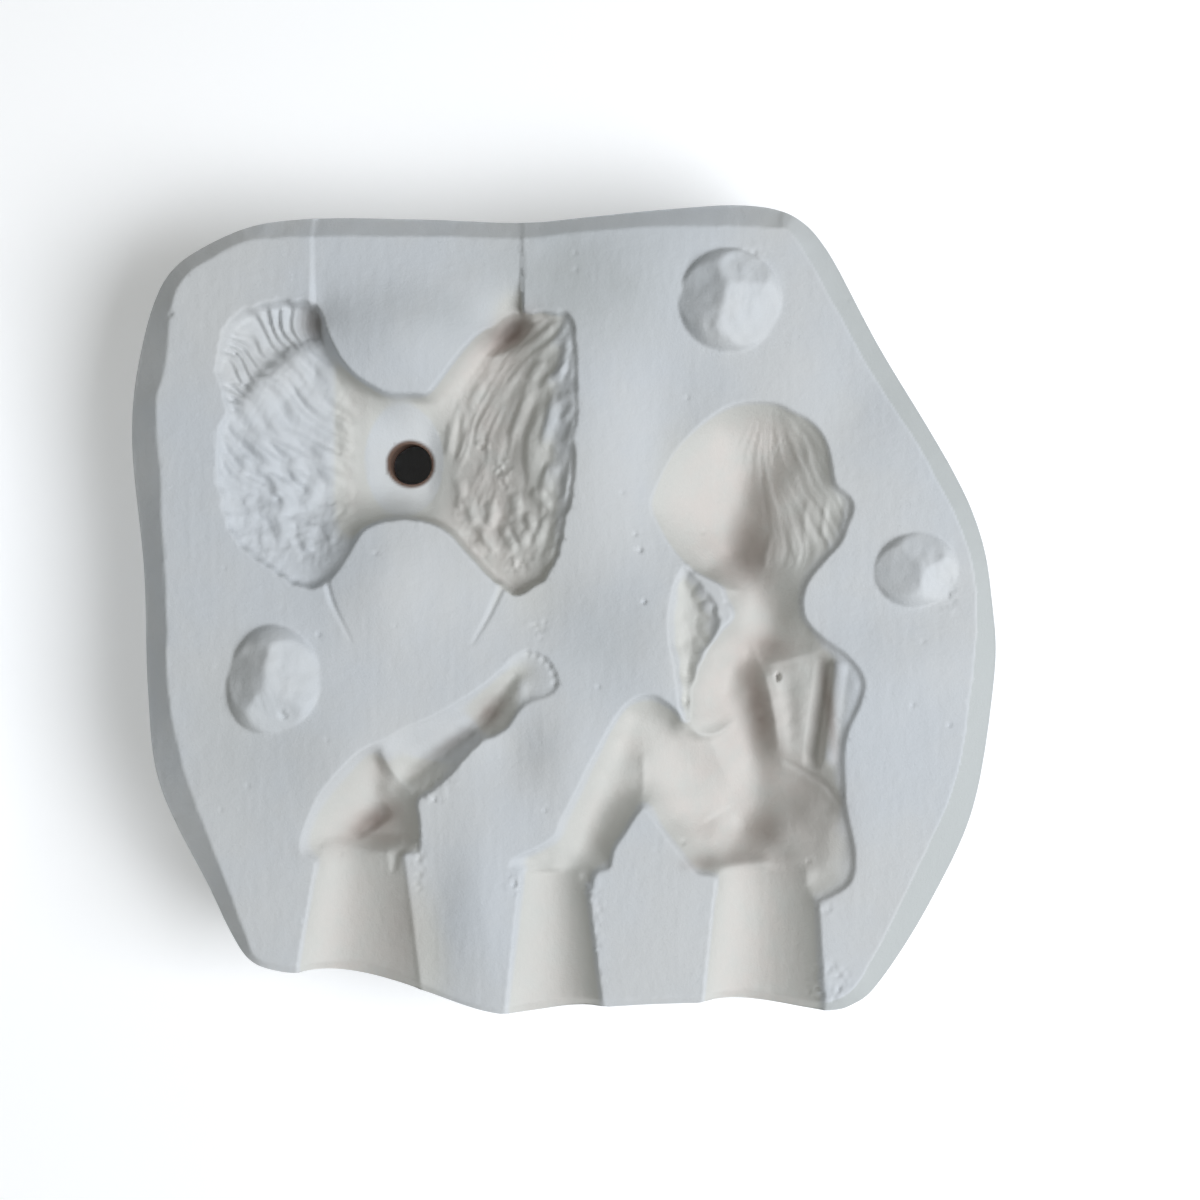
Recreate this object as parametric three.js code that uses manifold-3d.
// Two-part plaster mould for slip casting a small seated figure with a pair of wings and a
// separate leg. The two halves lie open side by side on their backs, like an open book. The
// front half turns over about the line midway between them, half a turn, and closes on the
// back half.
//
// Each half is modelled closed, in the mould frame: x to the right and y up across the
// parting face, z out of the back half, with the mean parting plane at z = 0. The halves are
// then laid open on the table, z = 0 of the finished model.

import * as THREE from 'three';
import { mergeVertices } from 'three/addons/utils/BufferGeometryUtils.js';
import Module from 'manifold-3d';

const wasm = await Module();
wasm.setup();

// Driving dimensions, in millimetres.
const HALF_THICKNESS = 45; // flat back to mean parting plane
const HALF_SPACING = 52; // clear table between the two open halves
const BEVEL = 7; // width and depth of the bevel below the mean parting plane
const BEVEL_REACH = 11; // the same up to the highest swell of the parting surface
const BOTTOM_SHIFT = 5; // how much narrower the bevel is along the bottom edge
const PARTING_GAP = 0.4; // clearance between the closed halves
const NATCH_CLEARANCE = 0.4; // clearance of a natch in its hollow
const GRID_STEP = 8; // facet size of the parting surface
const OUTLINE_STEPS = 72; // sides of the outline
const BLOCK_MARGIN = 20; // how far the cutting blocks reach past the outline
const WING_HOLE_RADIUS = 5.2; // pour hole of the wings, through the back half
const FUNNEL_RADIUS = 13; // its mouth in the flat back
const FUNNEL_DEPTH = 16;
const VENT_RADIUS = 0.9;
const ROUND_SEGMENTS = 16; // sides of round forms

const PLASTER = { color: 0xe4e6e8, roughness: 0.9, metalness: 0 };

// Outline of both halves across the parting plane, anticlockwise from the right-hand side.
const OUTLINE = [
  [108, 0], [102, 27], [79, 67], [66, 91], [57, 99.5], [45, 102], [27, 101], [8, 99],
  [-10, 97.5], [-36, 98.5], [-66, 98.5], [-84, 94.5], [-100, 84], [-107, 64], [-109, 42],
  [-106, 10], [-105, -20], [-102, -44], [-90, -69], [-81, -85.5], [-72, -90.5], [-58, -91.5],
  [-38, -95], [-14, -101.5], [9, -99.5], [38, -98.5], [64, -100.5], [73, -99], [80, -93],
  [92, -74], [103, -50], [108, -20],
];

// Swells (+) and dips (-) of the parting surface: centre, reach along x and y, height.
const SWELLS = [
  { x: -40, y: 69, reachX: 17, reachY: 10.5, height: 3.4 },
  { x: -45, y: 7, reachX: 13, reachY: 13, height: 2.4 },
  { x: 5, y: 46, reachX: 13, reachY: 26, height: 2.2 },
  { x: 19, y: 86, reachX: 17, reachY: 13, height: 2.2 },
  { x: 27, y: 34, reachX: 11, reachY: 24, height: -1.8 },
  { x: -8, y: 4, reachX: 13, reachY: 12, height: -1.8 },
  { x: 25, y: -8, reachX: 12, reachY: 15, height: 1.6 },
  { x: -56, y: -38, reachX: 15, reachY: 13, height: 1.8 },
  { x: -36, y: -84, reachX: 12, reachY: 24, height: -2.6 },
  { x: -13, y: -34, reachX: 8, reachY: 10, height: -1.6 },
  { x: 1, y: -38, reachX: 9, reachY: 13, height: 1 },
  { x: 71, y: 50, reachX: 12, reachY: 14, height: -1.4 },
  { x: 88, y: -14, reachX: 26, reachY: 11, height: 1.6 },
];

// Raised natches of the back half, which sit in hollows of the front half.
const NATCHES = [
  { x: 41.5, y: 77.5, radiusX: 13, radiusY: 13, height: 7 },
  { x: 88, y: 10, radiusX: 10, radiusY: 9, height: 5.5 },
  { x: -72, y: -17.5, radiusX: 12, radiusY: 13.5, height: 7 },
];

// Half-round pour gates, each from the foot of a cavity down past the bottom edge.
const GATES = [
  { x: -51, innerX: -50.5, top: -60, innerRadius: 10.7, outerRadius: 15.5 },
  { x: -2.5, innerX: -2.7, top: -63, innerRadius: 8.2, outerRadius: 12 },
  { x: 50, innerX: 50.7, top: -64, innerRadius: 12.6, outerRadius: 15.3 },
];
const GATE_BOTTOM = -106;

// Wing cavities. The floor of each slopes from its tip down to the hub between them.
const WING_DRAFT = 2.5; // how far the wing walls lean in
const WINGS = [
  {
    outline: [
      [-49, 21], [-44, 30], [-44, 46], [-48, 56], [-56, 64], [-62, 76], [-76, 77],
      [-85, 70], [-86, 58], [-81, 50], [-86, 38], [-85, 22], [-75, 11], [-64, 5.5], [-54, 10],
    ],
    tipDepth: 3,
    tipX: -86,
  },
  {
    outline: [
      [-32, 23], [-25, 14.5], [-14, 5], [-5, 7], [1, 22], [3.5, 45], [3, 66], [0, 74],
      [-11, 73], [-22, 63], [-31, 53], [-35, 46], [-35, 30],
    ],
    tipDepth: 3,
    tipX: 3,
  },
];
const HUB = { x: -39.5, y: 37.3, radiusX: 14, radiusY: 17, depth: 15.5 };

// Vent grooves: from each wing's lower tip into the parting face, and from its top to the rim.
const VENTS = [
  [[-60, 8], [-53, -8]],
  [[-15, 8], [-23, -8.5]],
  [[-63, 74], [-63, 96]],
  [[-10.5, 70], [-10.5, 96]],
];

// The cast figure. Rounded masses are ellipsoids and limbs are tapered capsules, all centred
// on the parting plane: back and front say how deep each reaches into that half.
const MASSES = [
  { x: 46, y: 30, radiusX: 25, radiusY: 22, turn: -20, back: 22, front: 22 }, // head
  { x: 61, y: 22, radiusX: 11, radiusY: 14, turn: 0, back: 10, front: 10 }, // flared hair
  { x: 58, y: -54, radiusX: 16, radiusY: 16, turn: 0, back: 16, front: 15 }, // seat
  { x: 31, y: 2, radiusX: 5, radiusY: 8, turn: 20, back: 5, front: 6 }, // hand
  { x: 62, y: -16, radiusX: 12, radiusY: 12, turn: 0, back: 13, front: 12 }, // shoulder blade
];
const LIMBS = [
  { from: [50, 10], to: [53, -8], radii: [10, 10.5], back: 1.1, front: 1.1 }, // neck
  { from: [57, -14], to: [57, -46], radii: [15, 14.5], back: 0.95, front: 0.9 }, // torso
  { from: [48, -10], to: [38, -25], radii: [8.5, 6.5], back: 1.6, front: 1.4 }, // upper arm
  { from: [34, -25], to: [30, -4], radii: [6, 4.2], back: 0.9, front: 1 }, // forearm
  { from: [48, -54], to: [22, -30], radii: [13, 8], back: 0.95, front: 0.95 }, // thigh
  { from: [20, -30], to: [4, -57], radii: [7.5, 5], back: 1, front: 1 }, // shin
  { from: [6, -60], to: [-10, -63], radii: [5, 2.4], back: 1, front: 1 }, // foot
  { from: [-51, -57], to: [-45, -42], radii: [14, 10], back: 0.95, front: 0.95 }, // loose thigh
  { from: [-43, -39], to: [-17, -23], radii: [7.5, 5], back: 1.2, front: 1.2 }, // loose calf
  { from: [-15, -23], to: [-6, -15], radii: [4.8, 3.6], back: 1, front: 1 }, // loose foot
];

// Bounding box of a list of points, as low and high corners.
function extent(points) {
  const box = new THREE.Box2();
  points.forEach(([x, y]) => box.expandByPoint(new THREE.Vector2(x, y)));
  return box;
}

const BOX = extent(OUTLINE);
const SIZE = BOX.getSize(new THREE.Vector2());
const CENTRE = BOX.getCenter(new THREE.Vector2());

// A closed three.js geometry as a solid that can be joined and cut.
function solid(geometry) {
  const bare = geometry.clone();
  bare.deleteAttribute('normal');
  bare.deleteAttribute('uv');
  const merged = mergeVertices(bare, 1e-4);
  return new wasm.Manifold(new wasm.Mesh({
    numProp: 3,
    vertProperties: new Float32Array(merged.attributes.position.array),
    triVerts: new Uint32Array(merged.index.array),
  }));
}

// A solid's surface as a three.js geometry.
function geometryOf(body) {
  const mesh = body.getMesh();
  const geometry = new THREE.BufferGeometry();
  geometry.setAttribute('position', new THREE.BufferAttribute(mesh.vertProperties, 3));
  geometry.setIndex(new THREE.BufferAttribute(mesh.triVerts, 1));
  geometry.computeVertexNormals();
  return geometry;
}

function join(solids) {
  return solids.reduce((whole, piece) => whole.add(piece));
}

// Height of the parting surface over a point of the parting plane.
function partingHeight(x, y) {
  return SWELLS.reduce((height, swell) => {
    const across = (x - swell.x) / swell.reachX;
    const along = (y - swell.y) / swell.reachY;
    return height + swell.height * Math.exp(-across * across - along * along);
  }, 0);
}

// The block of space on one side of the parting surface: below it for side -1, above for +1.
// It reaches past the outline and past the flat back.
function partingBlock(side) {
  const width = SIZE.x + 2 * BLOCK_MARGIN;
  const depth = SIZE.y + 2 * BLOCK_MARGIN;
  const height = HALF_THICKNESS + BLOCK_MARGIN;
  const cellsX = Math.round(width / GRID_STEP);
  const cellsY = Math.round(depth / GRID_STEP);
  const geometry = new THREE.BoxGeometry(width, depth, height, cellsX, cellsY, 1);
  geometry.translate(CENTRE.x, CENTRE.y, side * height / 2);
  const position = geometry.attributes.position;
  for (let i = 0; i < position.count; i += 1) {
    if (Math.abs(position.getZ(i)) < 1) {
      const surface = partingHeight(position.getX(i), position.getY(i));
      position.setZ(i, surface + side * PARTING_GAP / 2);
    }
  }
  return solid(geometry);
}

// An upright prism of the outline with a flat back, bevelled at the parting face.
function outlineBlock(side) {
  const points = [...OUTLINE, OUTLINE[0]].map(([x, y]) => new THREE.Vector2(x, y));
  const ring = new THREE.SplineCurve(points).getPoints(OUTLINE_STEPS).slice(0, -1);
  const prism = new THREE.ExtrudeGeometry(new THREE.Shape(ring), {
    depth: HALF_THICKNESS,
    bevelThickness: BEVEL_REACH,
    bevelSize: BEVEL_REACH,
    bevelOffset: -BEVEL_REACH,
    bevelSegments: 1,
  });
  // The bevel is slighter along the bottom edge, so its upper edge is moved out there.
  const position = prism.attributes.position;
  for (let i = 0; i < position.count; i += 1) {
    const onBevel = position.getZ(i) < -1 || position.getZ(i) > HALF_THICKNESS + 1;
    const nearBottom = THREE.MathUtils.smoothstep(-position.getY(i), 78, 90);
    position.setY(i, position.getY(i) - (onBevel ? BOTTOM_SHIFT * nearBottom : 0));
  }
  prism.translate(0, 0, side < 0 ? -HALF_THICKNESS - BEVEL : BEVEL);
  const slabHeight = HALF_THICKNESS + BLOCK_MARGIN;
  const slab = new THREE.BoxGeometry(
    SIZE.x + 2 * BLOCK_MARGIN, SIZE.y + 2 * BLOCK_MARGIN, slabHeight,
  );
  slab.translate(CENTRE.x, CENTRE.y, side * (HALF_THICKNESS - slabHeight / 2));
  return solid(prism).intersect(solid(slab));
}

// An ellipsoid on the parting plane, turned about z by a number of degrees.
function mass({ x, y, radiusX, radiusY, turn }, depth) {
  const geometry = new THREE.SphereGeometry(1, ROUND_SEGMENTS, ROUND_SEGMENTS / 2);
  geometry.scale(radiusX, radiusY, depth);
  geometry.rotateZ(THREE.MathUtils.degToRad(turn));
  geometry.translate(x, y, 0);
  return solid(geometry);
}

// A tapered capsule between two points of the parting plane, flattened or deepened along z.
function limb({ from, to, radii }, depthScale) {
  const [startX, startY] = from;
  const length = Math.hypot(to[0] - startX, to[1] - startY);
  const quarter = ROUND_SEGMENTS / 4;
  const profile = [];
  for (let i = 0; i <= quarter; i += 1) {
    const angle = (i / quarter) * Math.PI / 2;
    profile.push([radii[0] * Math.sin(angle), -radii[0] * Math.cos(angle)]);
  }
  for (let i = 0; i <= quarter; i += 1) {
    const angle = (i / quarter) * Math.PI / 2;
    profile.push([radii[1] * Math.cos(angle), length + radii[1] * Math.sin(angle)]);
  }
  profile[0][0] = 0;
  profile[profile.length - 1][0] = 0;
  const points = profile.map(([radius, height]) => new THREE.Vector2(radius, height));
  const geometry = new THREE.LatheGeometry(points, ROUND_SEGMENTS);
  geometry.scale(1, 1, depthScale);
  geometry.rotateZ(Math.atan2(to[1] - startY, to[0] - startX) - Math.PI / 2);
  geometry.translate(startX, startY, 0);
  return solid(geometry);
}

// A round bar between two points of the parting plane.
function bar([startX, startY], [endX, endY], startRadius, endRadius, sides) {
  const length = Math.hypot(endX - startX, endY - startY);
  const geometry = new THREE.CylinderGeometry(endRadius, startRadius, length, sides);
  geometry.rotateZ(Math.atan2(endY - startY, endX - startX) - Math.PI / 2);
  geometry.translate((startX + endX) / 2, (startY + endY) / 2, 0);
  return solid(geometry);
}

// A wing cavity: walls that lean in, and a floor that slopes down towards the hub.
function wing({ outline, tipDepth, tipX }) {
  const shape = new THREE.Shape(outline.map(([x, y]) => new THREE.Vector2(x, y)));
  const geometry = new THREE.ExtrudeGeometry(shape, {
    depth: 1,
    bevelThickness: 1,
    bevelSize: WING_DRAFT,
    bevelOffset: -WING_DRAFT,
    bevelSegments: 1,
  });
  geometry.translate(0, 0, -0.5);
  const slope = (HUB.depth - tipDepth) / (HUB.x - tipX);
  const position = geometry.attributes.position;
  for (let i = 0; i < position.count; i += 1) {
    const floor = tipDepth + (position.getX(i) - tipX) * slope;
    position.setZ(i, Math.sign(position.getZ(i)) * (Math.abs(position.getZ(i)) < 1 ? 1 : floor));
  }
  return solid(geometry);
}

// Everything that the plaster was cast around, for the back half or the front half.
function pattern(depthKey) {
  return join([
    ...MASSES.map((item) => mass(item, item[depthKey])),
    ...LIMBS.map((item) => limb(item, item[depthKey])),
    ...WINGS.map(wing),
    mass({ ...HUB, turn: 0 }, HUB.depth),
    ...GATES.map((gate) => bar(
      [gate.x, GATE_BOTTOM], [gate.innerX, gate.top], gate.outerRadius, gate.innerRadius,
      ROUND_SEGMENTS,
    )),
    ...VENTS.map(([from, to]) => bar(from, to, VENT_RADIUS, VENT_RADIUS, 8)),
  ]);
}

// The natches, grown by a clearance all round when they are to be cut as hollows.
function natches(clearance) {
  return join(NATCHES.map((natch) => mass({
    ...natch,
    radiusX: natch.radiusX + clearance,
    radiusY: natch.radiusY + clearance,
    turn: 0,
  }, natch.height + clearance + partingHeight(natch.x, natch.y))));
}

// The pour hole of the wings: a bore that opens as a funnel in the flat back.
function wingPourHole() {
  const bore = new THREE.CylinderGeometry(
    WING_HOLE_RADIUS, WING_HOLE_RADIUS, 2 * HALF_THICKNESS, ROUND_SEGMENTS,
  );
  const funnel = new THREE.CylinderGeometry(
    WING_HOLE_RADIUS, FUNNEL_RADIUS + 1, FUNNEL_DEPTH, ROUND_SEGMENTS,
  );
  bore.rotateX(Math.PI / 2);
  funnel.rotateX(Math.PI / 2);
  bore.translate(HUB.x, HUB.y, -HALF_THICKNESS);
  funnel.translate(HUB.x, HUB.y, FUNNEL_DEPTH / 2 - 1 - HALF_THICKNESS);
  return join([solid(bore), solid(funnel)]);
}

function plasterMesh(name, body) {
  const mesh = new THREE.Mesh(geometryOf(body), new THREE.MeshStandardMaterial(PLASTER));
  mesh.name = name;
  return mesh;
}

// Back half: natches stand out of its parting face.
const backHalf = plasterMesh(
  'back_half',
  partingBlock(-1)
    .intersect(outlineBlock(-1))
    .add(natches(0))
    .subtract(pattern('back'))
    .subtract(wingPourHole()),
);

// Front half: hollows take the natches.
const frontHalf = plasterMesh(
  'front_half',
  partingBlock(1)
    .intersect(outlineBlock(1))
    .subtract(natches(NATCH_CLEARANCE))
    .subtract(pattern('front')),
);

// Laid open on the table, either side of the line that the front half turns about.
const halfOffset = HALF_SPACING / 2 + SIZE.x / 2;
backHalf.position.set(halfOffset - CENTRE.x, -CENTRE.y, HALF_THICKNESS);
frontHalf.rotation.y = Math.PI;
frontHalf.position.set(CENTRE.x - halfOffset, -CENTRE.y, HALF_THICKNESS);

const group = new THREE.Group();
group.name = 'plaster_mould';
group.add(backHalf, frontHalf);

export default group;
